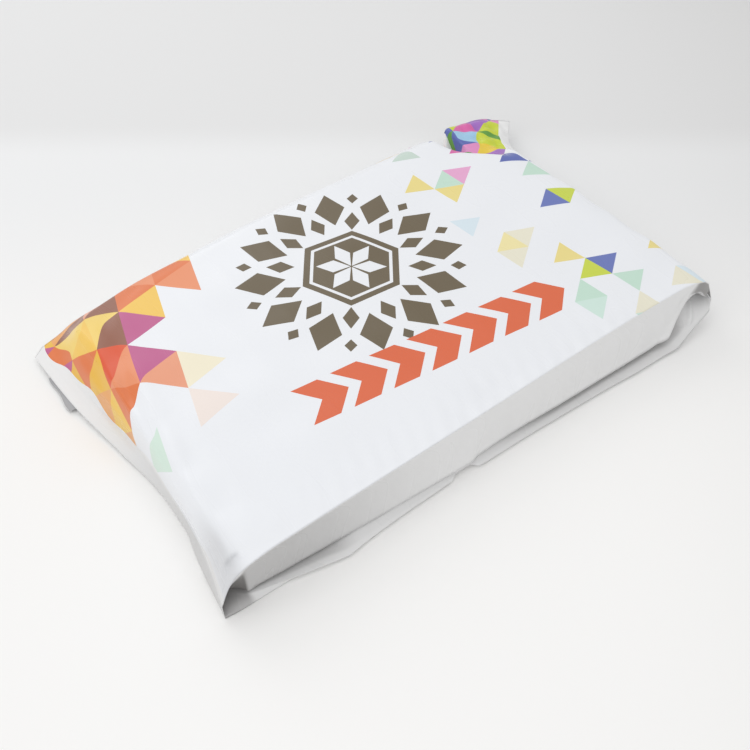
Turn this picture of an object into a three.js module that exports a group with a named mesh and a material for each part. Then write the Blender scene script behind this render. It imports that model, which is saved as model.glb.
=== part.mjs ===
// A filled poly mailer: one bag of white film, printed panel up, lying flat on its back panel.
// Lengths are millimetres. +X runs along the gusset edge, +Y towards the folded closure, +Z up.
import * as THREE from 'three';

// The goods inside stretch the film over a flat block
const packLength = 521;
const packDepth = 330;
const packHeight = 54;

// How the film is folded and sealed
const gussetDepth = 50;       // half of the bottom gusset, folded in behind the front edge
const sealThickness = 0.5;    // one welded pair of layers at the side seams
const closureReach = 37;      // how far the folded closure edge lies behind the block
const closureHeight = 27;     // height of that folded edge over the floor
const bottomFoldReach = 14;   // how far the bottom fold pokes out in front of the block
const bottomFoldHeight = 3;
const faceFoldHeight = 12;    // height of the fold line across the gusset's upright face
const faceTuck = 8;           // how far the film is tucked in under that fold line
const floorRoll = 16;         // width over which the bottom fold comes down to the floor
const floorInset = 11;        // the film leaves the floor this far inside the block's ends
const topInset = 30;          // the top is flat from this far inside the block's ends
const seamRise = 1.5;         // how suddenly the back panel curls up to the side seams
const closureRise = 1.6;      // and to the closure fold
const bendSoftness = 0.25;    // how softly the top bends down to the closure, as a share of that slope

// Rows of the film mesh, and its steps between two columns
const gussetRows = 6;
const topRows = 18;
const closureRows = 8;
const wingSteps = 3;
const middleSteps = 5;

// Columns run across the bag, from the left seam to the right one
const LEFT = { seam: 0, crease: 1, wall: 2, roll: 3, top: 4 };
const RIGHT = { top: 12, roll: 13, wall: 14, crease: 15, seam: 16 };

const filmDepth = packDepth + Math.hypot(closureReach, packHeight - closureHeight);
const gussetShare = gussetDepth / filmDepth;
const bendShare = packDepth / filmDepth;
const rollShare = floorRoll / filmDepth;
const seamRest = 1.6 * sealThickness;

const clamp01 = (value) => Math.min(1, Math.max(0, value));
const mix = (a, b, share) => a + (b - a) * share;
const mixPoints = (p, q, share) => p.map((value, axis) => mix(value, q[axis], share));
const addScaled = (p, q, base, weight) => p.map((value, axis) => value + weight * (q[axis] - base[axis]));

// Smooth curve through points [position, ...values], flat at each peak so that it never overshoots
function smoothCurve(points) {
  const last = points.length - 1;
  const slope = (i, k) => (points[i + 1][k] - points[i][k]) / (points[i + 1][0] - points[i][0]);
  const tangent = (i, k) => {
    if (i === 0) return slope(0, k);
    if (i === last) return slope(last - 1, k);
    const before = slope(i - 1, k);
    const after = slope(i, k);
    return before * after > 0 ? 2 * before * after / (before + after) : 0;
  };
  return (position) => {
    let i = 0;
    while (i < last - 1 && position > points[i + 1][0]) i += 1;
    const width = points[i + 1][0] - points[i][0];
    const s = clamp01((position - points[i][0]) / width);
    return points[i].slice(1).map((value, index) => {
      const k = index + 1;
      const lean = s * (1 - s) * ((1 - s) * tangent(i, k) - s * tangent(i + 1, k));
      return mix(value, points[i + 1][k], s * s * (3 - 2 * s)) + width * lean;
    });
  };
}

// Where a column stands along X over the block
const columnPlace = smoothCurve([
  [LEFT.seam, 0], [LEFT.roll, 0], [LEFT.top, topInset],
  [RIGHT.top, packLength - topInset], [RIGHT.roll, packLength], [RIGHT.seam, packLength],
]);
const columnX = (column) => columnPlace(column)[0];

// Height over the floor of a share of the goods' height, above a seam lying on the floor
const high = (share) => seamRest + share * packHeight;

// Lines from the front edge to the closure, past the block's ends. Their points are
// [share of the film's depth, distance outside the block's end, share of the goods' height].
const wingLine = (side, front, back, points) => {
  const line = smoothCurve(points);
  return (share) => {
    const [outside, raised] = line(share);
    const x = side === LEFT ? -outside : packLength + outside;
    return [x, mix(front, packDepth + back, share), high(raised)];
  };
};
const leftSeam = wingLine(LEFT, -5, 9, [
  [0, 26, 0], [0.09, 22, 0], [0.17, 18, 0.004], [0.26, 12, 0.007], [0.37, 11, 0.013],
  [0.57, 20, 0.04], [0.79, 31, 0.08], [1, 35, 0.08],
]);
const leftCrease = wingLine(LEFT, -1, 12, [
  [0, 25, 0.19], [0.09, 17, 0.21], [0.24, 9, 0.21], [0.5, 7, 0.23], [0.76, 16, 0.21], [1, 25, 0.19],
]);
const leftWall = wingLine(LEFT, -1, 15, [
  [0, 17, 0.54], [0.12, 9, 0.61], [0.55, 5, 0.61], [0.8, 9, 0.58], [1, 6, 0.24],
]);
const leftRoll = wingLine(LEFT, -4, 18, [
  [0, 3, 0.91], [0.45, -2, 0.93], [0.72, -3, 0.89], [0.88, -4, 0.76], [1, -11, 0.32],
]);
const rightRoll = wingLine(RIGHT, 1, 43, [
  [0, -14, 0.976], [0.06, -3, 0.95], [0.2, 1, 0.93], [0.8, -4, 0.91], [0.88, -8, 0.86], [1, -2, 0.46],
]);
const rightWall = wingLine(RIGHT, -1, 39, [
  [0, -2, 0.94], [0.06, 5, 0.87], [0.2, 9, 0.8], [0.65, 5, 0.74], [0.88, 9, 0.67], [1, 30, 0.45],
]);
const rightCrease = wingLine(RIGHT, -2, 28, [
  [0, 6, 0.84], [0.2, 14, 0.69], [0.4, 12, 0.6], [0.8, 12, 0.54], [0.88, 20, 0.5], [1, 55, 0.36],
]);
const rightSeam = wingLine(RIGHT, -8, 22, [
  [0, 10, 0.49], [0.05, 14, 0.52], [0.2, 23, 0.5], [0.4, 21, 0.41], [0.65, 19, 0.37],
  [0.88, 32, 0.36], [1, 68, 0.3],
]);

// Front crease and closure fold between the wings, as offsets by column
const frontCreaseShift = smoothCurve([[4, -3], [7, 0], [10.5, 4], [12, 3]]);
const closureFoldShift = smoothCurve([
  [4, -18, -6], [5.2, -14, -3], [7.2, -3, 0], [10, 3, -1], [12, 5, -1.5],
]);
// The goods don't fill the far left corner, so the bend starts further forward there
const cornerSlack = smoothCurve([[4, 0.14], [5, 0.06], [6.5, 0.02], [8, 0], [12, 0]]);

// The printed panel between the wings: flat over the block, then bent down to the closure fold
function panelMiddle(column, share) {
  const [slack] = cornerSlack(column);
  const past = clamp01((share - bendShare) / (1 - bendShare));
  const sunk = clamp01((share - bendShare + slack) / (1 - bendShare + slack));
  const drop = (Math.hypot(sunk, bendSoftness) - bendSoftness) / (Math.hypot(1, bendSoftness) - bendSoftness);
  const [frontShift] = frontCreaseShift(column);
  const [foldShift, foldLift] = closureFoldShift(column);
  const y = mix(frontShift, packDepth, Math.min(1, share / bendShare)) + past * (closureReach + foldShift);
  return [columnX(column), y, mix(packHeight, closureHeight + foldLift, drop)];
}

function printedPanel(column, share) {
  if (column < LEFT.crease) return mixPoints(leftSeam(share), leftCrease(share), column);
  if (column > RIGHT.crease) {
    return mixPoints(rightCrease(share), rightSeam(share), column - RIGHT.crease);
  }
  if (column < LEFT.top) {
    return smoothCurve([
      [LEFT.crease, ...leftCrease(share)], [LEFT.wall, ...leftWall(share)], [LEFT.roll, ...leftRoll(share)],
      [LEFT.top, ...panelMiddle(LEFT.top, share)], [LEFT.top + 1, ...panelMiddle(LEFT.top + 1, share)],
    ])(column);
  }
  if (column > RIGHT.top) {
    return smoothCurve([
      [RIGHT.top - 1, ...panelMiddle(RIGHT.top - 1, share)], [RIGHT.top, ...panelMiddle(RIGHT.top, share)],
      [RIGHT.roll, ...rightRoll(share)], [RIGHT.wall, ...rightWall(share)],
      [RIGHT.crease, ...rightCrease(share)],
    ])(column);
  }
  return panelMiddle(column, share);
}

// Lines across the bag, seam to seam. Their points are [column, shift along X, Y, height].
const crossLine = (seamShare, points) => smoothCurve([
  [LEFT.seam, ...leftSeam(seamShare)],
  ...points.map(([column, shift, y, height]) => [column, columnX(column) + shift, y, height]),
  [RIGHT.seam, ...rightSeam(seamShare)],
]);
const hemLine = crossLine(gussetShare / 3, [
  [1, -24, 0, high(0.13)], [2, -16, 0, high(0.43)], [3, -2, -2, high(0.69)], [4, 0, -2, high(0.73)],
  [12, -12, -2, high(0.73)], [13, -26, 0, high(0.8)], [14, -8, -3, high(0.79)], [15, 0, -7, high(0.65)],
]);
const faceFold = crossLine(gussetShare * 2 / 3, [
  [1, -21, gussetDepth * 0.3, high(0.115)], [2, -13, gussetDepth * 0.18, high(0.24)],
  [3, 1, -1, faceFoldHeight + 3], [4, 0, -1, faceFoldHeight + 2], [5.5, 0, -6, faceFoldHeight],
  [7.5, 0, -6, faceFoldHeight], [8.6, 0, -8, faceFoldHeight], [9.2, 0, -5, faceFoldHeight],
  [11, 0, -8, faceFoldHeight], [12, -37, -11, faceFoldHeight + 1], [13, -54, -14, faceFoldHeight + 2],
  [14, -9, gussetDepth * 0.22, high(0.615)], [15, 2, gussetDepth * 0.26, high(0.54)],
]);
const tuckHeight = faceFoldHeight * 0.6;
const tuckLine = crossLine(gussetShare, [
  [1, -20, gussetDepth * 0.4, high(0.08)], [2, -12, gussetDepth * 0.14, high(0.17)],
  [3, 2, 1, tuckHeight + 5], [4, 0, -1 + faceTuck, tuckHeight + 1], [5.5, 0, -6 + faceTuck, tuckHeight],
  [9.2, 0, -5 + faceTuck, tuckHeight], [11, 0, -8 + faceTuck, tuckHeight + 1],
  [12, -32, -4, tuckHeight + 3], [13, -47, -4, tuckHeight + 5],
  [14, -11, gussetDepth * 0.3, high(0.54)], [15, 5, gussetDepth * 0.46, high(0.5)],
]);
const bottomFold = crossLine(0, [
  [1, -22, -5.5, seamRest], [2, -14, -6, seamRest], [3, 1, -6, seamRest], [4, 0, -7, seamRest],
  [4.9, 0, -bottomFoldReach - 4, bottomFoldHeight], [6.2, 0, -bottomFoldReach, bottomFoldHeight],
  [7.3, 0, -bottomFoldReach + 8, bottomFoldHeight], [8.3, 0, -bottomFoldReach + 2, bottomFoldHeight],
  [9.3, 0, -bottomFoldReach - 1, bottomFoldHeight], [11, 0, -bottomFoldReach - 6, bottomFoldHeight],
  [12, -19, -bottomFoldReach - 8, bottomFoldHeight + 1],
  [13, -35, -bottomFoldReach - 6, bottomFoldHeight + 5],
  [14, -17, -bottomFoldReach - 3, high(0.245)], [15, 1, -bottomFoldReach - 1, high(0.375)],
]);

// The gusset's upper layer hangs from the front crease, and its lower layer runs out to the bottom fold
function upperGusset(column, row) {
  const lines = [printedPanel(column, 0), hemLine(column), faceFold(column), tuckLine(column)];
  const place = row / gussetRows * (lines.length - 1);
  const from = Math.min(lines.length - 2, Math.floor(place));
  return mixPoints(lines[from], lines[from + 1], place - from);
}
const lowerGusset = (column, row) => mixPoints(tuckLine(column), bottomFold(column), row / gussetRows);

// The back panel: on the floor under the block, lifted to the seams, the bottom fold and the closure
function floorPoint(column, share) {
  const past = Math.max(0, share - bendShare) / (1 - bendShare);
  const y = mix(0, packDepth, Math.min(1, share / bendShare)) + past * closureReach;
  if (column < LEFT.roll) {
    const inward = column / LEFT.roll;
    const [x, yMixed] = mixPoints(leftSeam(share), [floorInset, y, 0], inward);
    return [x, yMixed, leftSeam(share)[2] * (1 - inward) ** seamRise];
  }
  if (column > RIGHT.roll) {
    const inward = (RIGHT.seam - column) / (RIGHT.seam - RIGHT.roll);
    const [x, yMixed] = mixPoints(rightSeam(share), [packLength - floorInset, y, 0], inward);
    return [x, yMixed, rightSeam(share)[2] * (1 - inward) ** seamRise];
  }
  const along = (column - LEFT.roll) / (RIGHT.roll - LEFT.roll);
  return [mix(floorInset, packLength - floorInset, along), y, 0];
}
function backPanel(column, share) {
  const past = clamp01((share - bendShare) / (1 - bendShare));
  const near = clamp01(1 - share / rollShare);
  const flat = floorPoint(column, share);
  const toClosure = addScaled(flat, printedPanel(column, 1), floorPoint(column, 1), past ** closureRise);
  return addScaled(toClosure, bottomFold(column), floorPoint(column, 0), near * near);
}

// One section through the film at a column: over the top, down the gusset and back underneath
const steps = (from, to, count) => Array.from({ length: count }, (_, i) => mix(from, to, i / count));
const shares = [
  ...steps(1, bendShare, closureRows), ...steps(bendShare, gussetShare, topRows),
  ...steps(gussetShare, 0, gussetRows), 0,
];
const gussetSteps = Array.from({ length: gussetRows }, (_, i) => i + 1);
const seamPoint = (column, share) => (column === LEFT.seam ? leftSeam(share) : rightSeam(share));

function section(column) {
  const atSeam = column === LEFT.seam || column === RIGHT.seam;
  const fromSeam = Math.min(column - LEFT.seam, RIGHT.seam - column);
  const lift = (point, layers) => {
    const [x, y, z] = point;
    return [x, y, z + layers * sealThickness * clamp01(1 - fromSeam)];
  };
  const gussetAt = (layer, row, seamRow) => (
    atSeam ? seamPoint(column, gussetShare * seamRow / gussetRows) : layer(column, row)
  );
  const middle = shares.slice(1, -1);
  return [
    printedPanel(column, 1),
    ...middle.map((share) => lift(printedPanel(column, share), 1.5)),
    lift(printedPanel(column, 0), 1),
    ...gussetSteps.map((row) => lift(gussetAt(upperGusset, row, row), row < gussetRows ? 0.5 : 0)),
    ...gussetSteps.map((row) => (
      lift(gussetAt(lowerGusset, row, gussetRows - row), row < gussetRows ? -0.5 : -1)
    )),
    ...middle.toReversed().map((share) => lift(backPanel(column, share), -1.5)),
  ];
}

// Skin between the sections, and a narrow end face along each seam
function bagGeometry() {
  const columns = [
    ...steps(LEFT.seam, LEFT.top, (LEFT.top - LEFT.seam) * wingSteps),
    ...steps(LEFT.top, RIGHT.top, (RIGHT.top - LEFT.top) * middleSteps),
    ...steps(RIGHT.top, RIGHT.seam, (RIGHT.seam - RIGHT.top) * wingSteps),
    RIGHT.seam,
  ];
  const sections = columns.map(section);
  const loop = sections[0].length;
  const triangles = [];
  for (let i = 0; i + 1 < sections.length; i += 1) {
    for (let k = 0; k < loop; k += 1) {
      const next = (k + 1) % loop;
      const a = i * loop + k;
      const b = i * loop + next;
      const c = (i + 1) * loop + next;
      const d = (i + 1) * loop + k;
      triangles.push([a, b, c], [a, c, d]);
    }
  }

  const front = shares.length - 1;
  const tuck = front + gussetRows;
  const bottom = tuck + gussetRows;
  const back = (row) => (bottom + row) % loop;
  const endFace = [[tuck, front - gussetRows, back(gussetRows)]];
  const addStrip = (a, b, c, d) => endFace.push([a, b, c], [a, c, d]);
  for (let row = 0; row < gussetRows; row += 1) {
    addStrip(front - row, front - row - 1, front + row + 1, front + row);
    addStrip(back(row + 1), back(row), bottom - row, bottom - row - 1);
  }
  for (let row = 0; row < front - gussetRows; row += 1) {
    addStrip(row + 1, row, back(front - row), back(front - row - 1));
  }
  const real = endFace.filter(([a, b, c]) => a !== b && b !== c && c !== a);
  const lastSection = (sections.length - 1) * loop;
  for (const [a, b, c] of real) {
    triangles.push([a, b, c], [lastSection + a, lastSection + c, lastSection + b]);
  }

  const geometry = new THREE.BufferGeometry();
  geometry.setAttribute('position', new THREE.Float32BufferAttribute(sections.flat(2), 3));
  geometry.setIndex(triangles.flat());
  return geometry;
}

// The origin is the middle of the bag's footprint, on the floor
const geometry = bagGeometry();
geometry.computeBoundingBox();
const { min, max } = geometry.boundingBox;
geometry.translate(-(min.x + max.x) / 2, -(min.y + max.y) / 2, -min.z);
geometry.computeVertexNormals();

const whiteFilm = new THREE.MeshStandardMaterial({ color: '#eef1f6', roughness: 0.35, metalness: 0 });
const bag = new THREE.Mesh(geometry, whiteFilm);
bag.name = 'mailer_bag';

const mailer = new THREE.Group();
mailer.add(bag);

export default mailer;
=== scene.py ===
import math

import bpy
import numpy as np
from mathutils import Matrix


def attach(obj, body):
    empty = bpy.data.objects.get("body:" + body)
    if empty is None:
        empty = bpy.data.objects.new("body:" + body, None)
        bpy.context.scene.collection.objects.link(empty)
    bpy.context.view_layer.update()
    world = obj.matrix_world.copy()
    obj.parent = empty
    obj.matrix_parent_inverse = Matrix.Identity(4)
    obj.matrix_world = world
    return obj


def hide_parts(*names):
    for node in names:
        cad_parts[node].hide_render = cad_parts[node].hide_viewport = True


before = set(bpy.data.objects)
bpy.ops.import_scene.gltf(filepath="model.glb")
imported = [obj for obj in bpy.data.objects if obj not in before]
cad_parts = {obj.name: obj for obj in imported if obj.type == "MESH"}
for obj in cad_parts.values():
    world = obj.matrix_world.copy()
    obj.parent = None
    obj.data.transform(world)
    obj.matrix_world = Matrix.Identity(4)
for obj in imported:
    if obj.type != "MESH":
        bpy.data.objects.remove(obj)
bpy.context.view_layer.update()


# The bag is one length of white polyethylene film, folded into a printed panel, a bottom gusset and
# a back panel, and welded along both sides. Flat goods inside stretch it over a block, and the film
# that is left over stands out past the block's ends as soft wings.

# Millimetres from the block's near left corner. A column runs across the bag from the left seam, 0,
# to the right one, 16; a share runs over the printed panel from the front crease, 0, to the closure, 1.
block_length, block_depth, block_height = 521.0, 330.0, 54.0
gusset_depth = 50.0
weld_thickness = 0.5
weld_rest = 1.6 * weld_thickness
closure_reach, closure_height = 37.0, 27.0
floor_roll, floor_inset, top_inset = 16.0, 11.0, 30.0
footprint_middle = np.array([277.0, 175.5, 0.0])
film_depth = block_depth + math.hypot(closure_reach, block_height - closure_height)
bend_share = block_depth / film_depth
gusset_share = gusset_depth / film_depth


def through(stations, guides, places):
    """Smooth surface through guide lines. Between guides a and b, a width w apart, it is
    a + (b - a) s^2 (3 - 2 s) + w s (1 - s) ((1 - s) m_a - s m_b), where s runs from 0 to 1 and each
    lean m is the harmonic mean of the slopes on both sides of the guide, or 0 where they turn."""
    stations, guides = np.asarray(stations, float), np.asarray(guides, float)
    tail = (1,) * (guides.ndim - 1)
    slope = np.diff(guides, axis=0) / np.diff(stations).reshape(-1, *tail)
    product, total = slope[:-1] * slope[1:], slope[:-1] + slope[1:]
    inner = np.where(product > 0, 2 * product / np.where(product > 0, total, 1), 0)
    lean = np.concatenate([slope[:1], inner, slope[-1:]])
    at = np.clip(np.searchsorted(stations, places, side="right") - 1, 0, len(stations) - 2)
    w = np.diff(stations)[at].reshape(-1, *tail)
    s = np.clip((places - stations[at]).reshape(-1, *tail) / w, 0, 1)
    ease = s * s * (3 - 2 * s)
    bow = w * s * (1 - s) * ((1 - s) * lean[at] - s * lean[at + 1])
    return guides[at] + (guides[at + 1] - guides[at]) * ease + bow


def wing_line(side, front, back, points, share):
    """Line from the front to the closure past the block's left or right end. Its points are
    (share, distance outside the block's end, share of the block's height)."""
    table = np.array(points)
    outside, raised = through(table[:, 0], table[:, 1:], share).T
    x = -outside if side == "left" else block_length + outside
    y = front + (block_depth + back - front) * share
    return np.stack([x, y, weld_rest + raised * block_height], -1)


def left_lines(share):
    """The left wing's guide lines: seam, crease, wall and roll."""
    return [
        wing_line("left", -5, 9, [
            (0, 26, 0), (0.09, 22, 0), (0.17, 18, 0.004), (0.26, 12, 0.007), (0.37, 11, 0.013),
            (0.57, 20, 0.04), (0.79, 31, 0.08), (1, 35, 0.08),
        ], share),
        wing_line("left", -1, 12, [
            (0, 25, 0.19), (0.09, 17, 0.21), (0.24, 9, 0.21), (0.5, 7, 0.23), (0.76, 16, 0.21),
            (1, 25, 0.19),
        ], share),
        wing_line("left", -1, 15, [
            (0, 17, 0.54), (0.12, 9, 0.61), (0.55, 5, 0.61), (0.8, 9, 0.58), (1, 6, 0.24),
        ], share),
        wing_line("left", -4, 18, [
            (0, 3, 0.91), (0.45, -2, 0.93), (0.72, -3, 0.89), (0.88, -4, 0.76), (1, -11, 0.32),
        ], share),
    ]


def right_lines(share):
    """The right wing's guide lines: roll, wall, crease and seam."""
    return [
        wing_line("right", 1, 43, [
            (0, -14, 0.976), (0.06, -3, 0.95), (0.2, 1, 0.93), (0.8, -4, 0.91), (0.88, -8, 0.86),
            (1, -2, 0.46),
        ], share),
        wing_line("right", -1, 39, [
            (0, -2, 0.94), (0.06, 5, 0.87), (0.2, 9, 0.8), (0.65, 5, 0.74), (0.88, 9, 0.67),
            (1, 30, 0.45),
        ], share),
        wing_line("right", -2, 28, [
            (0, 6, 0.84), (0.2, 14, 0.69), (0.4, 12, 0.6), (0.8, 12, 0.54), (0.88, 20, 0.5),
            (1, 55, 0.36),
        ], share),
        wing_line("right", -8, 22, [
            (0, 10, 0.49), (0.05, 14, 0.52), (0.2, 23, 0.5), (0.4, 21, 0.41), (0.65, 19, 0.37),
            (0.88, 32, 0.36), (1, 68, 0.3),
        ], share),
    ]


def column_x(column):
    """Where a column stands over the block: smooth from its left end, at columns 0 to 3, through
    points inset from both ends, at 4 and 12, to its right end, at 13 to 16."""
    stations = [0, 3, 4, 12, 13, 16]
    places = [[0], [0], [top_inset], [block_length - top_inset], [block_length], [block_length]]
    return through(stations, places, np.atleast_1d(column))[:, 0]


def panel_middle(column, share):
    """Printed panel over the block: flat, then bent down to the closure fold. The drop follows
    sqrt(t^2 + softness^2), with t from 0 at the bend to 1 at the fold, and starts further forward at
    the far left corner, which the goods don't fill."""
    column = np.atleast_1d(column).astype(float)
    slack = through([4, 5, 6.5, 8, 12], [[0.14], [0.06], [0.02], [0], [0]], column)
    front = through([4, 7, 10.5, 12], [[-3], [0], [4], [3]], column)
    fold = through(
        [4, 5.2, 7.2, 10, 12], [[-18, -6], [-14, -3], [-3, 0], [3, -1], [5, -1.5]], column)
    past = np.clip((share - bend_share) / (1 - bend_share), 0, 1)[None]
    sunk = np.clip((share[None] - bend_share + slack) / (1 - bend_share + slack), 0, 1)
    softness = 0.25
    drop = (np.hypot(sunk, softness) - softness) / (math.hypot(1, softness) - softness)
    over = np.minimum(1, share / bend_share)[None]
    y = front + (block_depth - front) * over + past * (closure_reach + fold[:, :1])
    z = block_height + (closure_height + fold[:, 1:] - block_height) * drop
    return np.stack([np.broadcast_to(column_x(column)[:, None], y.shape), y, z], -1)


def printed_panel(column, share):
    """The whole printed panel as a grid of columns by shares: straight between seam and crease,
    and smooth through the guide lines of each wing."""
    left, right = left_lines(share), right_lines(share)
    near_left, near_right = panel_middle([4, 5], share), panel_middle([11, 12], share)
    return np.concatenate([
        through([0, 1], [left[0], left[1]], column[column < 1]),
        through([1, 2, 3, 4, 5], [*left[1:], *near_left], column[(column >= 1) & (column < 4)]),
        panel_middle(column[(column >= 4) & (column <= 12)], share),
        through(
            [11, 12, 13, 14, 15], [*near_right, *right[:3]], column[(column > 12) & (column <= 15)]),
        through([15, 16], right[2:], column[column > 15]),
    ])


def cross_line(seam_share, points, column):
    """Line across the bag from seam to seam, through points (column, shift along x, y, height)."""
    table = np.array(points, float)
    middle = np.stack([column_x(table[:, 0]) + table[:, 1], table[:, 2], table[:, 3]], -1)
    share = np.array([seam_share])
    ends = left_lines(share)[0], right_lines(share)[3]
    return through([0, *table[:, 0], 16], np.concatenate([ends[0], middle, ends[1]]), column)


def high(share):
    """Height over the floor: a share of the block's height, plus the film's own rest."""
    return weld_rest + share * block_height


def hem_line(column):
    """Across the gusset's face, a third of the way down."""
    return cross_line(gusset_share / 3, [
        (1, -23, 5, high(0.14)), (2, -14, 5, high(0.39)), (2.6, -5, -0.5, high(0.6)),
        (3, -2, -3, high(0.69)), (4, 0, -2, high(0.73)), (12, -12, -2, high(0.73)),
        (13, -26, 0, high(0.8)), (14, -8, -3, high(0.79)), (15, 0, -7, high(0.65)),
    ], column)


def face_fold(column):
    """The fold along the foot of the gusset's face, under which the film tucks in."""
    return cross_line(gusset_share * 2 / 3, [
        (1, -20, 12, high(0.1)), (2, -11.5, 9, high(0.225)), (2.6, -3.5, 3, 12), (3, -1, -1, 11),
        (3.4, 0, 0.2, 9.5), (3.83, 0, -0.9, 9.5), (4.4, 0, -2.2, 9.5), (5.2, 0, -4.3, 9.5),
        (5.8, 0, -6.1, 9.5), (6.9, 0, -8.3, 9), (7.38, 0, -9.6, 9), (7.55, 0, -7.3, 9.5),
        (8.1, 0, -6.4, 10), (9.05, 0, -8.2, 10), (10, 0, -9.2, 10), (11, 0, -10.2, 10.5),
        (12, -37, -10.5, 12), (13, -54, -13, 13.5), (14, -9, 11, high(0.615)), (15, 2, 13, high(0.54)),
    ], column)


def tuck_line(column):
    """The gusset's inner crease. It comes forward in the middle, where the layers lie together."""
    return cross_line(gusset_share, [
        (1, -17, 20, high(0.06)), (2, -9.5, 12, high(0.087)), (2.6, -3, 6, 5.5), (3, -0.5, 4, 5.5),
        (3.5, 0, 10, 5), (4.7, 0, 10, 5.2), (5.5, 0, -2.5, 8.2), (6.9, 0, -6, 8), (7.5, 0, -3, 7.6),
        (9.2, 0, 8, 5.4), (10, 0, 12, 5), (11, 0, 12, 5.5), (12, -32, 8, 7), (13, -47, 6, 9),
        (14, -11, 15, high(0.54)), (15, 5, 23, high(0.5)),
    ], column)


def lip_line(column):
    """The visible front edge of the gusset's lower layer: a pleat that starts at the near left corner
    of the block and runs out over the layer's own foot."""
    return cross_line(gusset_share / 2, [
        (1, -17.5, 16, high(0.05)), (2, -10, 9, high(0.08)), (3, 0, 0.2, 5), (3.5, 0, -3.2, 5),
        (3.8, 0, -5.7, 4.8), (4.25, 0, -10.3, 4.5), (4.73, 0, -14.8, 4), (5.1, 0, -18.4, 3.8),
        (5.16, 0, -18.9, 3.8), (5.24, 0, -18.3, 3.7), (5.45, 0, -16.6, 3.5), (6.12, 0, -13.7, 3.3),
        (7.05, 0, -11.5, 3.2), (7.17, 0, -7.2, 3), (7.4, 0, -7.4, 3), (7.52, 0, -13.5, 3),
        (8.3, 0, -14, 3), (9, 0, -15.5, 3), (9.9, 0, -17.6, 3), (10.6, 0, -20.2, 3),
        (11.2, 0, -20.8, 3.3), (12, -19, -22, 4), (13, -35, -20, 8), (14, -17, -17, high(0.245)),
        (15, 1, -15, high(0.375)),
    ], column)


def bottom_fold(column):
    """The foot of the gusset, where it turns under into the back panel."""
    on_floor = [
        (1, -22, -5.5), (2, -14, -6.3), (3, 1, -6.5), (3.95, 0, -6.7), (4.3, 0, -7.5), (5.16, 0, -15),
        (6.12, 0, -10.5), (7.05, 0, -8), (7.17, 0, -4), (7.4, 0, -4), (7.52, 0, -10), (9, 0, -12.5),
        (10.6, 0, -17),
    ]
    return cross_line(0, [
        *[(*point, weld_rest) for point in on_floor],
        (12, -19, -19.5, 2.5), (13, -35, -18, 6.5), (14, -17, -15.5, high(0.22)),
        (15, 1, -13.5, high(0.35)),
    ], column)


def back_panel(column, share):
    """The back panel as a grid: on the floor under the block, curled up to the seams by the distance
    from the block to the power 1.5, and lifted to the closure fold and to the bottom fold."""
    def resting(share):
        """The panel before its two folds are lifted: flat under the block, then drawn to each seam by
        the reach, from 0 at column 3 or 13 to 1 at the seam."""
        y = block_depth * np.minimum(1, share / bend_share)
        y = y + closure_reach * np.maximum(0, share - bend_share) / (1 - bend_share)
        grid = np.zeros((len(column), len(share), 3))
        along = np.clip((column - 3) / 10, 0, 1)
        grid[..., 0] = (floor_inset + along * (block_length - 2 * floor_inset))[:, None]
        grid[..., 1] = y[None]
        outward = [
            (1 - column / 3, left_lines(share)[0]),
            (1 - (16 - column) / 3, right_lines(share)[3]),
        ]
        for reach, seam in outward:
            reach = np.clip(reach, 0, 1)[:, None, None]
            height = seam[:, 2] * reach[..., 0] ** 1.5
            grid = grid + (seam[None] - grid) * reach
            grid[..., 2] = np.where(reach[..., 0] > 0, height, grid[..., 2])
        return grid

    flat, ends = resting(share), resting(np.array([0.0, 1.0]))
    past = np.clip((share - bend_share) / (1 - bend_share), 0, 1)[None, :, None] ** 1.6
    near = np.clip(1 - share * film_depth / floor_roll, 0, 1)[None, :, None] ** 2
    to_closure = printed_panel(column, np.array([1.0])) - ends[:, 1:]
    to_fold = bottom_fold(column)[:, None] - ends[:, :1]
    return flat + to_closure * past + to_fold * near


def ramp(value, start, end):
    """Smooth step from 0 at start to 1 at end: t^2 (3 - 2 t), t being the share of the way."""
    t = np.clip((value - start) / (end - start), 0, 1)
    return t * t * (3 - 2 * t)


def crumple(a, b, size, seed, count=7):
    """Creased relief, about -1 to 1: a sum of straight soft-edged ridges of random headings, each a
    triangle wave sqrt(sin^2 + 0.02)."""
    dice = np.random.default_rng(seed)
    heading = dice.uniform(0, math.pi, count)
    wave = dice.uniform(0.7, 1.6, count) * size
    phase = dice.uniform(0, 9, count)
    run = a[..., None] * np.cos(heading) + b[..., None] * np.sin(heading)
    ridges = np.sqrt(np.sin(math.pi * run / wave + phase) ** 2 + 0.02)
    return (ridges - 0.66).sum(-1) / math.sqrt(count) * 1.6


# The grid: columns and shares every 1 to 3 mm, and as many rows on each layer of the gusset as on the
# part of the panel that is welded to it
columns = np.concatenate([
    np.linspace(0, 1, 9)[:-1], np.linspace(1, 4, 37)[:-1], np.linspace(4, 12, 161)[:-1],
    np.linspace(12, 15, 37)[:-1], np.linspace(15, 16, 9),
])
gusset_rows = 26
panel_shares = np.concatenate([
    np.linspace(1, bend_share, 19)[:-1], np.linspace(bend_share, gusset_share, 109)[:-1],
    np.linspace(gusset_share, 0, gusset_rows + 1),
])
row_steps = np.arange(1, gusset_rows + 1) / gusset_rows
panel = printed_panel(columns, panel_shares)
crease_line = printed_panel(columns, np.array([0.0]))[:, 0]

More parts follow.
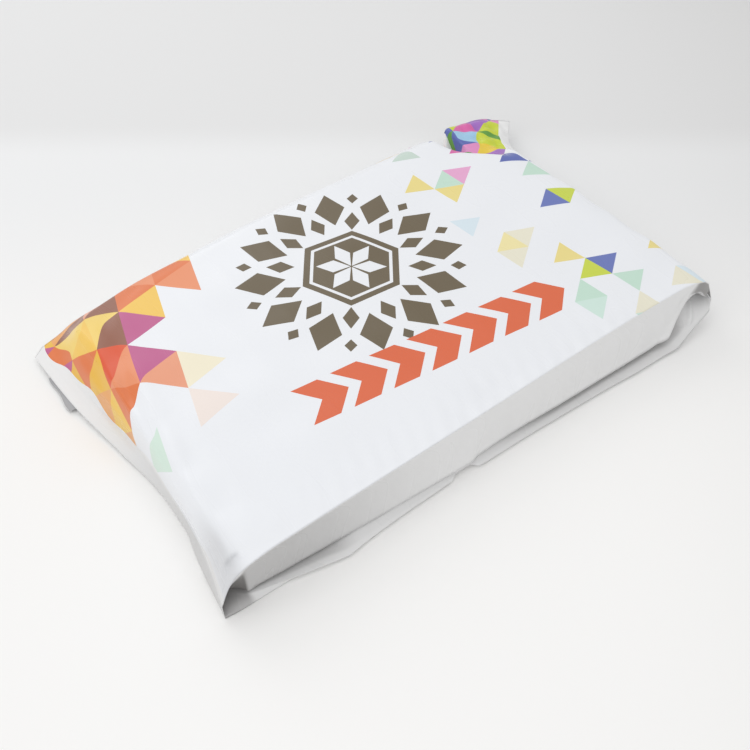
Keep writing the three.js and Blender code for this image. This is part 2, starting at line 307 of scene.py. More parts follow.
# The gusset's upper layer: its face, then the part that is tucked in. The lower layer: a shelf out to
# the lip, then the foot
fold_line, inner_line = face_fold(columns), tuck_line(columns)
face_part, shelf_part = 2 / 2.6, 0.65
face = through(
    [0, 1, 2], [crease_line, hem_line(columns), fold_line], np.clip(row_steps * 2 / face_part, 0, 2))
under = ((row_steps - face_part) / (1 - face_part))[:, None, None]
face = np.where(under > 0, fold_line + (inner_line - fold_line) * under, face)
upper = np.moveaxis(face, 0, 1)
lip, bottom = lip_line(columns), bottom_fold(columns)
shelf = through([0, 1], [inner_line, lip], np.clip(row_steps / shelf_part, 0, 1))
foot = through([0, 1], [lip, bottom], np.clip((row_steps - shelf_part) / (1 - shelf_part), 0, 1))
lower = np.moveaxis(np.where((row_steps > shelf_part)[:, None, None], foot, shelf), 0, 1)
back = back_panel(columns, panel_shares[::-1][1:-1])

# At a seam all layers of film lie in one weld, so the gusset's rows follow the seam line there
for end, seam in ((0, lambda s: left_lines(s)[0]), (-1, lambda s: right_lines(s)[3])):
    upper[end] = seam(gusset_share * row_steps)
    lower[end] = seam(gusset_share * (1 - row_steps))

# The whole loop of film round each column. In a weld its layers lie on one another, counted here in
# thicknesses of film from the middle
loop_points = np.concatenate([panel, upper, lower, back], axis=1)
rows = len(panel_shares)
loop = loop_points.shape[1]
layers = np.zeros(loop)
layers[1:rows - 1] = 1.5
layers[rows - 1] = 1
layers[rows:rows + gusset_rows - 1] = 0.5
layers[rows + gusset_rows:rows + 2 * gusset_rows - 1] = -0.5
layers[rows + 2 * gusset_rows - 1] = -1
layers[rows + 2 * gusset_rows:] = -1.5
welded = np.clip(1 - np.minimum(columns, 16 - columns), 0, 1)
loop_points[..., 2] += welded[:, None] * layers[None] * weld_thickness

# Slack film: slow waves over the top, and creases in the wings
grid_column, grid_share = np.meshgrid(columns, panel_shares, indexing="ij")
from_right = 16 - grid_column
top = loop_points[:, :rows]
x, y = top[..., 0].copy(), top[..., 1].copy()
inside = ramp(grid_share, 0, 0.05) * ramp(1 - grid_share, 0, 0.04)
waves = 0.35 * np.sin(x / 17 + y / 41 + 0.6) + 0.3 * np.sin(x / 29 - y / 15 + 2)
waves = waves + 0.3 * np.sin(y / 11 + x / 60)
top[..., 2] += waves * inside * ramp(grid_column, 0.9, 1.5) * ramp(from_right, 0.9, 1.5)
wing = np.maximum(ramp(4.5 - grid_column, 0, 1.5), ramp(grid_column - 12.2, 0, 1.3))
wing = wing * ramp(grid_column, 0.2, 1.2) * ramp(from_right, 0.2, 1.2)
crease_size, crease_height = 26, 1.1
top[..., 2] += crumple(x, y * 0.6, crease_size, 3) * wing * inside * crease_height

# The goods don't fill the far right corner: past a slanting line the panel sinks to a low shelf,
# and the empty ear of film on the shelf is crumpled
shelf_height, shelf_slope = 28, 36
brink_x, brink_y = 440, 314
past_line = (x - brink_x) * 0.686 + (y - brink_y) * 0.728 - 3 - 22 * ramp(grid_column, 12.2, 13.6)
sunk = ramp(past_line, 0, shelf_slope) * ramp(grid_column, 11.1, 11.6)
top[..., 2] += sunk * (np.minimum(top[..., 2], shelf_height) - top[..., 2])
ear = ramp(grid_column, 12.6, 13.6) * ramp(grid_share, 0.78, 0.93)
facet_size, facet_height = 21, 1.9
top[..., 2] += crumple(x, y, facet_size, 8) * ear * (0.3 + ramp(1 - grid_share, 0, 0.03)) * facet_height

# A dent by the near left corner, creases along the front rim, and rolls down the left flank
dent = ramp(0.05 - grid_share, 0, 0.012) * ramp(grid_share, 0, 0.034)
dent = dent * ramp(grid_column, 2.1, 2.6) * ramp(3.3 - grid_column, 0, 0.35)
dent_shift = (2.2, 1.7, -2.4)
top += dent[..., None] * dent_shift
rim_size, rim_height = 20, 0.7
rim_creases = crumple(x, y * 0.5, rim_size, 5) * ramp(grid_share, 0, 0.012)
rim_creases = rim_creases * np.exp(-(grid_share / 0.08) ** 2)
top[..., 2] += rim_creases * ramp(grid_column, 4, 5.5) * ramp(12 - grid_column, 0, 2) * rim_height
flank = ramp(grid_column, 0.3, 1.2) * ramp(4.4 - grid_column, 0, 1.2) * ramp(grid_share, 0.1, 0.3)
rolls = np.sin(math.tau * (grid_column * 0.85 + 0.5 * np.sin(grid_share * 5 + 0.4)))
roll_height = 1.5
top[..., 2] += rolls * flank * ramp(1 - grid_share, 0, 0.1) * roll_height

# A gully crosses the closure fold where the unfilled corner starts, and the corner puffs up beside it
gully = ramp(columns, 11.4, 12.0) * ramp(12.36 - columns, 0, 0.14) * (columns < 12.4)
puff = ramp(columns, 12.3, 12.5) * ramp(13.2 - columns, 0, 0.6)
gully_shift, puff_height = (1, -6, -18), 3
for first, shares, run_in, lowest in (
        (0, panel_shares, (0.85, 0.94), 1.2),
        (rows + 2 * gusset_rows, panel_shares[::-1][1:-1], (0.9, 0.985), 0)):
    layer = loop_points[:, first:first + len(shares)]
    layer += (gully[:, None] * ramp(shares, *run_in))[..., None] * gully_shift
    layer[..., 2] += puff[:, None] * ramp(shares, 0.9, 0.985) * puff_height
    layer[..., 2] = np.maximum(layer[..., 2], lowest)

# Soft folds in the gusset's face
low_steps, low_columns = np.meshgrid(row_steps, columns)
hanging = loop_points[:, rows:rows + gusset_rows]
fold_size, fold_height = 34, 0.7
folds = crumple(hanging[..., 0], hanging[..., 2] * 0.5 - hanging[..., 1], fold_size, 11)
folds *= ramp(low_steps, 0.04, 0.2) * ramp(0.74 - low_steps, 0, 0.12)
hanging[..., 1] += folds * ramp(low_columns, 3.4, 4.2) * ramp(13 - low_columns, 0, 0.8) * fold_height

# Wrinkle that stands up in the mouth of the right pocket
ridge = np.exp(-((low_columns + 2.2 * low_steps - 14.85) / 0.13) ** 2)
ridge = ridge * ramp(low_steps, 0.05, 0.12) * ramp(0.56 - low_steps, 0, 0.08)
ridge_shift = (-1, -2.5, 2.5)
loop_points[:, rows + gusset_rows:rows + 2 * gusset_rows] += ridge[..., None] * ridge_shift

# How much light each place of the film is painted with: 1 in the open, and less where shade is painted
# into its colour as dark grey: in the groove under the gusset's face, in the pockets at its two ends, on
# its near end, on the lower layer towards the right, and low on the left flank and its seam. Along the
# wrinkle in the right pocket the lower layer gets a painted highlight, a little lighter.
# Painted shade and one painted highlight, held per point and mixed into the film's colour
painted_lightness = np.ones(loop_points.shape[:2])
groove_shade, pocket_shade, near_end_shade, flank_shade, seam_shade = 0.3, 0.95, 0.43, 0.27, 0.33
left_pocket, right_pocket = ramp(3.15 - low_columns, 0, 0.4), ramp(low_columns, 13.2, 13.7)
groove = groove_shade * (1 - left_pocket) * (1 - right_pocket)
groove *= 1 - 0.85 * ramp(low_columns, 4.9, 5.5) * ramp(9.4 - low_columns, 0, 1.8)
near_end = ramp(7.2 - low_columns, 0, 3.6) * (1 - left_pocket)
upper_shade = 1 - groove * ramp(low_steps, 0.74, 0.84)
upper_shade -= pocket_shade * left_pocket * ramp(low_steps, 0.02, 0.25)
upper_shade -= near_end_shade * near_end * ramp(low_steps, 0, 0.06)
upper_shade -= right_pocket * (0.15 + 0.6 * ramp(0.42 - low_steps, 0, 0.05))
lower_shade = 0.97 - 0.08 * ramp(low_columns, 5, 9) - groove * ramp(0.52 - low_steps, 0, 0.12)
lower_shade -= left_pocket * (0.62 - 0.2 * ramp(low_steps, 0.7, 0.95))
lower_shade += right_pocket * 0.15 * ridge
shaded_flank = ramp(3.4 - grid_column, 0, 0.9) * ramp(grid_column, 1, 1.6)
shaded_flank = shaded_flank * ramp(0.22 - grid_share, 0, 0.14)
shaded_seam = ramp(1.4 - grid_column, 0, 0.6) * ramp(0.75 - grid_share, 0, 0.6)
painted_lightness[:, :rows] = 1 - flank_shade * shaded_flank - seam_shade * shaded_seam
painted_lightness[:, rows:rows + gusset_rows] = upper_shade
painted_lightness[:, rows + gusset_rows:rows + 2 * gusset_rows] = lower_shade

# Distance along the film, for the print and the fine crinkles: x from the left end of the block,
# y up the printed panel from the front crease, and below 0 on the gusset and the back
steps = np.linalg.norm(np.diff(loop_points, axis=0), axis=-1)
film_x = np.concatenate([np.zeros((1, loop)), np.cumsum(steps, axis=0)])
film_x += block_length / 2 - film_x[np.argmin(abs(columns - 8))]
film_y = np.concatenate([
    panel_shares * film_depth, -gusset_depth * row_steps, -gusset_depth * (1 + row_steps),
    -2 * gusset_depth - panel_shares[::-1][1:] * film_depth,
])
film_x = np.concatenate([film_x, film_x[:, :1]], axis=1)


def grid_faces(columns_count, loop_count):
    """Quads of a tube of sections, and the place of each corner in a grid one row longer,
    where the last row repeats the first."""
    i, k = np.meshgrid(np.arange(columns_count - 1), np.arange(loop_count), indexing="ij")
    corner_i = np.stack([i, i, i + 1, i + 1], -1).reshape(-1, 4)
    corner_k = np.stack([k, k + 1, k + 1, k], -1).reshape(-1, 4)
    return corner_i * loop_count + corner_k % loop_count, corner_i, corner_k


def weld_faces():
    """Strips that close one seam's end: each row of the panel to the same row of the gusset, and of
    the gusset to the back."""
    front, tuck = rows - 1, rows - 1 + gusset_rows
    bottom = tuck + gusset_rows
    step = np.arange(gusset_rows)
    rest = np.arange(front - gusset_rows)
    strips = np.concatenate([
        np.stack([front - step, front - step - 1, front + step + 1, front + step], -1),
        np.stack([bottom + step + 1, bottom + step, bottom - step, bottom - step - 1], -1),
        np.stack([rest + 1, rest, bottom + front - rest, bottom + front - rest - 1], -1),
    ]) % loop
    return strips, [tuck, front - gusset_rows, bottom + gusset_rows]


quads, corner_i, corner_k = grid_faces(len(columns), loop)
strips, wedge = weld_faces()
last = (len(columns) - 1) * loop
faces = quads.tolist()
for strip in strips.tolist():
    near = list(dict.fromkeys(strip))
    if len(near) > 2:
        faces += [near, [last + v for v in near[::-1]]]
faces += [wedge, [last + v for v in wedge[::-1]]]
film = bpy.data.meshes.new("film_bag")
film.from_pydata(((loop_points.reshape(-1, 3) - footprint_middle) / 1000).tolist(), [], faces)
film.validate()
film.update()

# "film_sheet" is the place on the flat film in metres, and "OFBake" the same, shrunk into one square.
# The narrow end faces of the welds lie on plain spots of both
corner_x = film_x[corner_i, corner_k].reshape(-1)
corner_y = film_y[corner_k].reshape(-1)
print_map = np.zeros((len(film.loops), 2))
print_map[:len(corner_x)] = np.stack([corner_x, corner_y], -1) / 1000
off_print, plain_spot = (-0.2, -0.2), (0.95, 0.5)
print_map[len(corner_x):] = off_print
bake_shift, bake_span = (0.09, 0.49), 0.89
bake_map = (print_map + bake_shift) / bake_span
bake_map[len(corner_x):] = plain_spot
film.uv_layers.new(name="film_sheet").data.foreach_set("uv", print_map.astype(np.float32).ravel())
film.uv_layers.new(name="OFBake").data.foreach_set("uv", bake_map.astype(np.float32).ravel())
film.polygons.foreach_set("use_smooth", np.ones(len(film.polygons), bool))
for label, values in (("column", np.repeat(columns, loop)), ("painted_lightness", painted_lightness.ravel())):
    film.attributes.new(label, "FLOAT", "POINT").data.foreach_set("value", values.astype(np.float32))
bag = bpy.data.objects.new("film_bag", film)
bpy.context.collection.objects.link(bag)
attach(bag, "root")
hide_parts("mailer_bag")


# The print: flexographic inks on the white film. A loose mosaic of triangles runs out of two corners,
# warm colours from the far left one and cool ones from the far right one. Between them stand a brown
# rosette of lozenges and a band of orange chevrons. Lengths on the sheet are millimetres.
def hue(code):
    """Linear colour of a six-digit screen colour: each share c of red, green and blue becomes
    ((c + 0.055) / 1.055)^2.4, or c / 12.92 where it is dark."""
    screen = np.array([int(code[i:i + 2], 16) for i in (0, 2, 4)]) / 255
    return (*np.where(screen <= 0.04045, screen / 12.92, ((screen + 0.055) / 1.055) ** 2.4), 1)


def feed(tree, sockets, given):
    """Sets sockets, in order, to plain values or links."""
    for socket, item in zip(sockets, given):
        if isinstance(item, bpy.types.NodeSocket):
            tree.links.new(item, socket)
        else:
            socket.default_value = item


def reckon(tree, operation, *given):
    """One sum: a Math node's operation on sockets or numbers."""
    node = tree.nodes.new("ShaderNodeMath")
    node.operation = operation
    feed(tree, node.inputs, given)
    return node.outputs[0]


def fade(tree, value, start, end, low=0.0, high=1.0):
    """Smooth step of a socket, from low at start to high at end."""
    node = tree.nodes.new("ShaderNodeMapRange")
    node.interpolation_type = "SMOOTHSTEP"
    feed(tree, node.inputs, (value, start, end, low, high))
    return node.outputs[0]


def tint(tree, share, under, over):
    """Mix of two colours: under (1 - share) + over share."""
    node = tree.nodes.new("ShaderNodeMix")
    node.data_type = "RGBA"
    feed(tree, (node.inputs[0], node.inputs[6], node.inputs[7]), (share, under, over))
    return node.outputs[2]


def palette(tree, share, colours):
    """One of several inks: the share's 0 to 1 is cut into equal parts, one for each."""
    node = tree.nodes.new("ShaderNodeValToRGB")
    band = node.color_ramp
    band.interpolation = "CONSTANT"
    for i, colour in enumerate(colours):
        stop = band.elements[i] if i < 2 else band.elements.new(i / len(colours))
        stop.position = i / len(colours)
        stop.color = hue(colour)
    tree.links.new(share, node.inputs[0])
    return node.outputs[0]


def new_group(name, inputs, outputs):
    """Empty shader node group with its inputs and outputs."""
    group = bpy.data.node_groups.new(name, "ShaderNodeTree")
    for label, kind in inputs:
        group.interface.new_socket(label, in_out="INPUT", socket_type=kind)
    for label, kind in outputs:
        group.interface.new_socket(label, in_out="OUTPUT", socket_type=kind)
    return group, group.nodes.new("NodeGroupInput"), group.nodes.new("NodeGroupOutput")


group, given, made = new_group(
    "sheet_print", [("Sheet", "NodeSocketVector")],
    [("Color", "NodeSocketColor"), ("Ink", "NodeSocketFloat")])
split = group.nodes.new("ShaderNodeSeparateXYZ")
group.links.new(given.outputs["Sheet"], split.inputs[0])
sheet_x = reckon(group, "MULTIPLY", split.outputs["X"], 1000)
sheet_y = reckon(group, "MULTIPLY", split.outputs["Y"], 1000)


def turned(x, y, centre, degrees):
    """Place on the sheet, measured from a centre along axes turned by an angle: dx cos + dy sin
    along, and dy cos - dx sin across."""
    dx, dy = reckon(group, "SUBTRACT", x, centre[0]), reckon(group, "SUBTRACT", y, centre[1])
    c, s = math.cos(math.radians(degrees)), math.sin(math.radians(degrees))
    along = reckon(group, "MULTIPLY_ADD", dx, c, reckon(group, "MULTIPLY", dy, s))
    across = reckon(group, "MULTIPLY_ADD", dy, c, reckon(group, "MULTIPLY", dx, -s))
    return along, across


def distance_from(x, y, centre, squeeze):
    """Distance from a corner, with y shrunk: sqrt(dx^2 + (dy / squeeze)^2)."""
    dx = reckon(group, "SUBTRACT", x, centre[0])
    dy = reckon(group, "DIVIDE", reckon(group, "SUBTRACT", y, centre[1]), squeeze)
    return reckon(group, "SQRT", reckon(group, "MULTIPLY_ADD", dx, dx, reckon(group, "MULTIPLY", dy, dy)))


def mosaic(side, lean_angle, seed):
    """Lattice of triangles of one side length, turned by an angle: the middle of the cell on the
    sheet, and three random numbers of its own. Rows b = y / (side sin 60) and places
    a = x / side - b / 2 make rhombs, and the fractions of a and b add up to over 1 in the upper
    triangle of each."""
    lattice_x, lattice_y = turned(sheet_x, sheet_y, (0, 0), lean_angle)
    row = reckon(group, "DIVIDE", lattice_y, side * math.sqrt(0.75))
    place = reckon(
        group, "SUBTRACT", reckon(group, "DIVIDE", lattice_x, side), reckon(group, "MULTIPLY", row, 0.5))
    row_cell, place_cell = reckon(group, "FLOOR", row), reckon(group, "FLOOR", place)
    upper_half = reckon(group, "GREATER_THAN", reckon(
        group, "ADD", reckon(group, "FRACT", row), reckon(group, "FRACT", place)), 1)
    third = reckon(group, "MULTIPLY_ADD", upper_half, 1 / 3, 1 / 3)
    mid_row, mid_place = reckon(group, "ADD", row_cell, third), reckon(group, "ADD", place_cell, third)
    mid_y = reckon(group, "MULTIPLY", mid_row, side * math.sqrt(0.75))
    mid_x = reckon(group, "MULTIPLY", reckon(group, "MULTIPLY_ADD", mid_row, 0.5, mid_place), side)
    c, s = math.cos(math.radians(-lean_angle)), math.sin(math.radians(-lean_angle))
    cell_x = reckon(group, "MULTIPLY_ADD", mid_x, c, reckon(group, "MULTIPLY", mid_y, s))
    cell_y = reckon(group, "MULTIPLY_ADD", mid_y, c, reckon(group, "MULTIPLY", mid_x, -s))
    label = group.nodes.new("ShaderNodeCombineXYZ")
    for socket, item in zip(label.inputs, (place_cell, row_cell, upper_half)):
        group.links.new(item, socket)
    dice = group.nodes.new("ShaderNodeTexWhiteNoise")
    dice.noise_dimensions = "4D"
    dice.inputs["W"].default_value = seed
    group.links.new(label.outputs[0], dice.inputs["Vector"])
    throws = group.nodes.new("ShaderNodeSeparateColor")
    group.links.new(dice.outputs["Color"], throws.inputs[0])
    return cell_x, cell_y, throws.outputs


# Warm triangles round the far left corner of the sheet
large_side, warm_corner = 46.0, (-25, 375)
cell_x, cell_y, throws = mosaic(large_side, lean_angle=14.0, seed=1.5)
warm_reach = distance_from(cell_x, cell_y, warm_corner, squeeze=1.15)
warm_share = reckon(
    group, "ADD", fade(group, warm_reach, 110, 180, 0.9, 0.0), fade(group, warm_reach, 260, 290, 0.1, 0.0))
warm_here = reckon(group, "LESS_THAN", throws[0], warm_share)
warm_inks = palette(group, throws[1], [
    "d9683f", "eab94a", "e8936a", "c0608f", "dd5a38", "f0d070", "e07a48", "95624f", "e9a868", "f0c65e"])
pale_inks = palette(group, throws[2], ["eedcd2", "d5e8dc", "efe3dc", "f1ead2"])
warm = tint(group, fade(group, warm_reach, 160, 185), warm_inks, pale_inks)
sheet = tint(group, warm_here, hue("eceef2"), warm)

# Cool and mixed triangles, smaller, round the far right corner and down that side
small_side, cool_corner = 33.0, (545, 375)
cell_x, cell_y, throws = mosaic(small_side, lean_angle=-23.0, seed=4.25)
cool_reach = distance_from(cell_x, cell_y, cool_corner, squeeze=1.0)
cool_share = reckon(group, "MAXIMUM", fade(group, cool_reach, 75, 120, 1.0, 0.0), reckon(
    group, "MULTIPLY", fade(group, cell_x, 365, 420), 0.24))
cool_here = reckon(group, "LESS_THAN", throws[0], cool_share)
cool_inks = palette(group, throws[1], [
    "d964a8", "c8d43a", "a06ac0", "9fc9e6", "5f9a3c", "e6c83c", "5a68b0", "e08fc4"])
far_inks = palette(group, throws[2], [
    "ead98c", "c4e0d0", "d8e6ee", "6a78b8", "eee2a8", "cfe6dc", "e6a8cf", "e8e4d0", "c9d64a"])
cool = tint(group, fade(group, cool_reach, 110, 150), cool_inks, far_inks)
cool_here = reckon(group, "MULTIPLY", cool_here, fade(group, cell_x, 290, 320))
sheet = tint(group, cool_here, sheet, cool)

# Rosette: round its centre the sheet is folded into equal sectors, and a lozenge with half axes p and q
# covers |u| / p + |v| / q < 1 in each
print_turn, rosette_centre = -6, (256, 218)
rosette_x, rosette_y = turned(sheet_x, sheet_y, rosette_centre, print_turn)
reach = reckon(group, "SQRT", reckon(
    group, "MULTIPLY_ADD", rosette_x, rosette_x, reckon(group, "MULTIPLY", rosette_y, rosette_y)))
bearing = reckon(group, "ARCTAN2", rosette_y, rosette_x)


def sector(count, shift):
    """Radial and sideways distance inside one of count equal sectors: reach times the cosine and
    the sine of the bearing from the sector's middle."""
    part = reckon(group, "FRACT", reckon(group, "MULTIPLY_ADD", bearing, count / math.tau, shift))
    angle = reckon(group, "MULTIPLY", reckon(group, "SUBTRACT", part, 0.5), math.tau / count)
    out = reckon(group, "MULTIPLY", reach, reckon(group, "COSINE", angle))
    return out, reckon(group, "MULTIPLY", reach, reckon(group, "SINE", angle))


def lozenge(out, sideways, radius, p, q):
    """1 inside a lozenge at a radius, where |out - radius| / p + |sideways| / q < 1."""
    u = reckon(group, "DIVIDE", reckon(group, "ABSOLUTE", reckon(group, "SUBTRACT", out, radius)), p)
    v = reckon(group, "DIVIDE", reckon(group, "ABSOLUTE", sideways), q)
    return reckon(group, "LESS_THAN", reckon(group, "ADD", u, v), 1)


# Twelve large petals with small ones and tips between them, round a six-sided heart that has a bare
# ring and a bare star in it. Lozenges are (radius, p, q)
large_petal, small_petal, petal_tip, star_point = (91, 25, 16), (70, 14, 8), (106, 8, 6), (18, 17, 8.5)
heart_reach, ring_reach, ring_half_width = 47, 39, 1.6
twelfth, between, sixth = sector(12, 0.0), sector(12, 0.5), sector(6, 0.0)
petals = reckon(group, "MAXIMUM", lozenge(*twelfth, *large_petal), lozenge(*between, *small_petal))
petals = reckon(group, "MAXIMUM", petals, lozenge(*between, *petal_tip))
heart = reckon(group, "LESS_THAN", sixth[0], heart_reach)
gap = reckon(group, "COMPARE", sixth[0], ring_reach, ring_half_width)
star = lozenge(*sixth, *star_point)
bare = reckon(group, "MAXIMUM", gap, star)
heart = reckon(group, "MULTIPLY", heart, reckon(group, "SUBTRACT", 1, bare))
brown_here = reckon(group, "MAXIMUM", petals, heart)
sheet = tint(group, brown_here, sheet, hue("6b5f4a"))

# Chevrons: along the band, u + 0.9 |v| repeats at each step, and ink covers the first part of it
band_centre, band_half_width, band_middle, band_half_length = (256, 84), 22, 14, 133.5
chevron_step, chevron_ink = 40, 27
band_x, band_y = turned(sheet_x, sheet_y, band_centre, print_turn)
sideways = reckon(group, "ABSOLUTE", band_y)
arrow = reckon(group, "MULTIPLY_ADD", sideways, 0.9, band_x)
in_step = reckon(group, "FLOORED_MODULO", reckon(group, "ADD", arrow, 3 * chevron_step), chevron_step)
inked = reckon(group, "LESS_THAN", in_step, chevron_ink)
inked = reckon(group, "MULTIPLY", inked, reckon(group, "LESS_THAN", sideways, band_half_width))
along_band = reckon(group, "COMPARE", arrow, band_middle, band_half_length)
orange_here = reckon(group, "MULTIPLY", inked, along_band)
sheet = tint(group, orange_here, sheet, hue("dd6a44"))
group.links.new(sheet, made.inputs["Color"])
any_ink = reckon(group, "MAXIMUM", reckon(group, "MAXIMUM", warm_here, cool_here), reckon(
    group, "MAXIMUM", brown_here, orange_here))
group.links.new(any_ink, made.inputs["Ink"])

# The film itself: white, with a soft gloss that varies in faint streaks. The print lies on the panel
# alone. It ends at the right seam, and short of the left one along a line that wanders. Fine crinkles
# near the front rim are a bump.
white_film = bpy.data.materials.new("white_film")
white_film.use_nodes = True
tree = white_film.node_tree
shader = tree.nodes["Principled BSDF"]
sheet_place = tree.nodes.new("ShaderNodeUVMap")
sheet_place.uv_map = "film_sheet"
printed = tree.nodes.new("ShaderNodeGroup")
printed.node_tree = group
tree.links.new(sheet_place.outputs[0], printed.inputs["Sheet"])
column_here = tree.nodes.new("ShaderNodeAttribute")
column_here.attribute_name = "column"
painted_lightness_here = tree.nodes.new("ShaderNodeAttribute")
painted_lightness_here.attribute_name = "painted_lightness"
place_split = tree.nodes.new("ShaderNodeSeparateXYZ")
tree.links.new(sheet_place.outputs[0], place_split.inputs[0])
place_y = place_split.outputs["Y"]
wander = reckon(tree, "SINE", reckon(tree, "MULTIPLY_ADD", place_y, 48, 0.4))
wander_more = reckon(tree, "SINE", reckon(tree, "MULTIPLY_ADD", place_y, 113, 2))
margin = reckon(tree, "MULTIPLY_ADD", wander, 0.22, reckon(tree, "MULTIPLY_ADD", wander_more, 0.1, 1.2))
on_panel = reckon(tree, "GREATER_THAN", column_here.outputs["Fac"], margin)
on_panel = reckon(tree, "MULTIPLY", on_panel, reckon(tree, "LESS_THAN", column_here.outputs["Fac"], 15))
on_panel = reckon(tree, "MULTIPLY", on_panel, reckon(tree, "GREATER_THAN", place_y, 0))
plain_white, painted_shade_grey = hue("eaeaea"), hue("6f6c6a")
film_colour = tint(tree, on_panel, plain_white, printed.outputs["Color"])
# Painted shade: the film's colour is mixed towards dark grey in its folds, pockets and groove, and low on
# the left flank and seam
film_colour = tint(tree, painted_lightness_here.outputs["Fac"], painted_shade_grey, film_colour)
tree.links.new(film_colour, shader.inputs["Base Color"])
wrinkle_place = tree.nodes.new("ShaderNodeMapping")
tree.links.new(sheet_place.outputs[0], wrinkle_place.inputs["Vector"])
wrinkle_place.inputs["Rotation"].default_value = (0, 0, 0.6)
wrinkle_place.inputs["Scale"].default_value = (40, 9, 1)
wrinkle = tree.nodes.new("ShaderNodeTexNoise")
tree.links.new(wrinkle_place.outputs[0], wrinkle.inputs["Vector"])
wrinkle.inputs["Detail"].default_value = 1
wrinkle.inputs["Scale"].default_value = 1
tree.links.new(fade(tree, wrinkle.outputs["Fac"], 0.35, 0.7, 0.26, 0.4), shader.inputs["Roughness"])
rim = fade(tree, place_y, 0.01, 0.04, 1, 0.1)
rim = reckon(tree, "MULTIPLY", rim, fade(tree, place_y, -0.004, 0.0))
crinkle = tree.nodes.new("ShaderNodeBump")
crinkle.inputs["Distance"].default_value = 0.004
tree.links.new(reckon(tree, "MULTIPLY", rim, 0.3), crinkle.inputs["Strength"])
tree.links.new(wrinkle.outputs["Fac"], crinkle.inputs["Height"])
tree.links.new(crinkle.outputs[0], shader.inputs["Normal"])
film.materials.append(white_film)


# The end of the closure flap shows under the left edge of the bag as a small tab of grey film, the
# film's inner side. It lies nearly flat, with its root welded into the left seam. It narrows towards
# the closure, and droops with the square of the distance from its root.
tab_start, tab_length, tab_thickness = (-25, 256, 4.6), 50, 0.4
tab_reach, tab_taper, tab_droop = 10.5, 4, 2.2
tab_rows, tab_width = 13, 5
tab_count = tab_rows * tab_width
tab_along = np.linspace(0, 1, tab_rows)[:, None]
tab_across = np.linspace(0, 1, tab_width)[None]
tab_edge = tab_reach - tab_taper * tab_along + 0.8 * np.sin(9 * tab_along)
tab_x = tab_start[0] - 3 * tab_along - tab_across * tab_edge
tab_y = tab_start[1] + tab_length * tab_along + 3 * tab_across
tab_z = tab_start[2] - tab_droop * tab_across ** 2 + 0.5 * np.sin(5 * tab_along)
tab_top = np.stack(np.broadcast_arrays(tab_x, tab_y, tab_z), -1).reshape(-1, 3)
tab_points = np.concatenate([tab_top, tab_top - (0, 0, tab_thickness)])
i, k = np.meshgrid(np.arange(tab_rows - 1), np.arange(tab_width - 1), indexing="ij")
corner = i * tab_width + k
tab_quads = np.stack([corner, corner + 1, corner + tab_width + 1, corner + tab_width], -1).reshape(-1, 4)
edge = np.concatenate([
    np.arange(tab_width), np.arange(2 * tab_width - 1, tab_count, tab_width),
    np.arange(tab_count - 2, tab_count - tab_width - 1, -1),
    np.arange(tab_count - 2 * tab_width, 0, -tab_width),
])
after = np.roll(edge, -1)
tab_sides = np.stack([after, edge, edge + tab_count, after + tab_count], -1)
tab_faces = np.concatenate([tab_quads, tab_quads[:, ::-1] + tab_count, tab_sides])
tab_mesh = bpy.data.meshes.new("flap_tab")
tab_mesh.from_pydata(((tab_points - footprint_middle) / 1000).tolist(), [], tab_faces.tolist())
tab_mesh.validate()
tab = bpy.data.objects.new("flap_tab", tab_mesh)
bpy.context.collection.objects.link(tab)
grey_film = bpy.data.materials.new("grey_film")
grey_film.use_nodes = True
grey_shader = grey_film.node_tree.nodes["Principled BSDF"]
grey_shader.inputs["Base Color"].default_value = hue("a9a9ab")
grey_shader.inputs["Roughness"].default_value = 0.4
tab_mesh.materials.append(grey_film)
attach(tab, "root")
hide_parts("mailer_bag")


# The floor is a wide sheet of pale paper, a hair below the bag. Its colour holds painted shade, where the
# light falls off: darker to the left, far to the right and behind a soft line at the back of the bag, as
# seen along the camera's heading, and darker still past a second line further back.
floor_reach, floor_height = 6, -0.0003
signs = ((-1, -1), (1, -1), (1, 1), (-1, 1))
floor_corners = [(a * floor_reach, b * floor_reach, floor_height) for a, b in signs]
floor_mesh = bpy.data.meshes.new("paper_floor")
floor_mesh.from_pydata(floor_corners, [], [(0, 1, 2, 3)])
floor = bpy.data.objects.new("paper_floor", floor_mesh)
bpy.context.collection.objects.link(floor)
paper = bpy.data.materials.new("pale_paper")
paper.use_nodes = True
tree = paper.node_tree
spot = tree.nodes.new("ShaderNodeTexCoord")
spot_split = tree.nodes.new("ShaderNodeSeparateXYZ")
tree.links.new(spot.outputs["Object"], spot_split.inputs[0])
heading = math.radians(36.57)
spot_x, spot_y = spot_split.outputs["X"], spot_split.outputs["Y"]
ahead = reckon(
    tree, "MULTIPLY_ADD", spot_x, math.sin(heading), reckon(tree, "MULTIPLY", spot_y, math.cos(heading)))
aside = reckon(
    tree, "MULTIPLY_ADD", spot_x, math.cos(heading), reckon(tree, "MULTIPLY", spot_y, -math.sin(heading)))
# Painted shade: the paper is made darker to the left, far to the right and towards the back, where the
# light falls off
paper_with_painted_shade = tint(tree, fade(tree, aside, -0.6, 0.0), (0.90, 0.895, 0.885, 1), (0.96, 0.955, 0.945, 1))
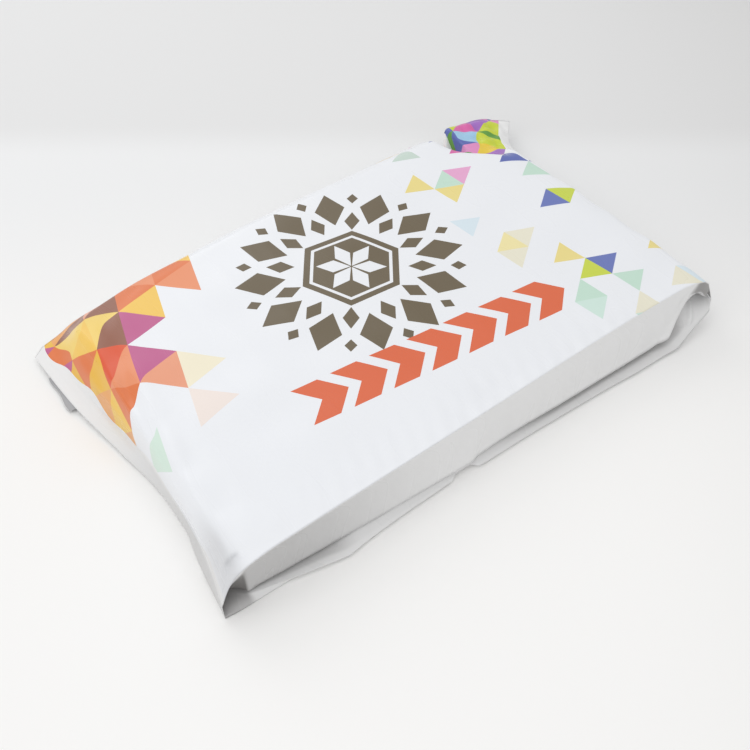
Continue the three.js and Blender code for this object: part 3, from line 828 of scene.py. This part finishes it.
for distance, start, end, most, painted_tone in (
        (ahead, -0.15, 0.25, 1, (0.83, 0.835, 0.84, 1)),
        (ahead, 0.275, 0.35, 0.75, (0.74, 0.74, 0.74, 1)),
        (aside, 0.15, 0.9, 0.8, (0.66, 0.655, 0.65, 1))):
    paper_with_painted_shade = tint(tree, fade(tree, distance, start, end, 0, most), paper_with_painted_shade, painted_tone)
tree.links.new(paper_with_painted_shade, tree.nodes["Principled BSDF"].inputs["Base Color"])
tree.nodes["Principled BSDF"].inputs["Roughness"].default_value = 0.8
floor_mesh.materials.append(paper)


# Soft studio light: wide panels overhead, at the left and behind, in an even pale room. Their places
# and sizes are metres.
def soft_panel(name, place, target, size, watts):
    """Square area light at place, turned to face target: tipped by the angle between up and the way
    from target to place, and turned to that way's bearing."""
    light = bpy.data.lights.new(name, "AREA")
    light.shape, light.size, light.energy = "SQUARE", size, watts
    lamp = bpy.data.objects.new(name, light)
    lamp.location = place
    way = np.subtract(place, target)
    tip = math.acos(way[2] / np.linalg.norm(way))
    lamp.rotation_euler = (tip, 0, math.atan2(way[1], way[0]) + math.pi / 2)
    bpy.context.collection.objects.link(lamp)


soft_panel("overhead_panel", (0, 0, 1.7), (0, 0, 0), 1.8, 5.2)
soft_panel("left_panel", (-1.5, 0.1, 1.1), (0, 0, 0), 1.4, 4.8)
soft_panel("back_panel", (0.1, 1.6, 1.1), (0, 0, 0), 1.4, 5.8)
world = bpy.data.worlds.new("pale_room")
world.use_nodes = True
room = world.node_tree.nodes["Background"]
room.inputs["Color"].default_value = (1, 1, 1, 1)
room.inputs["Strength"].default_value = 0.71
bpy.context.scene.world = world
bpy.context.scene.view_settings.view_transform = "Standard"


# The camera looks down over the near left corner, from 0.67 m above the floor, along the picture's
# heading.
camera_data = bpy.data.cameras.new("camera")
camera_data.lens, camera_data.sensor_width = 44.93, 36.0
camera = bpy.data.objects.new("camera", camera_data)
camera.location = (-0.4115, -0.5222, 0.673)
camera.rotation_euler = (math.radians(41.35), 0, -heading)
bpy.context.collection.objects.link(camera)
bpy.context.scene.camera = camera
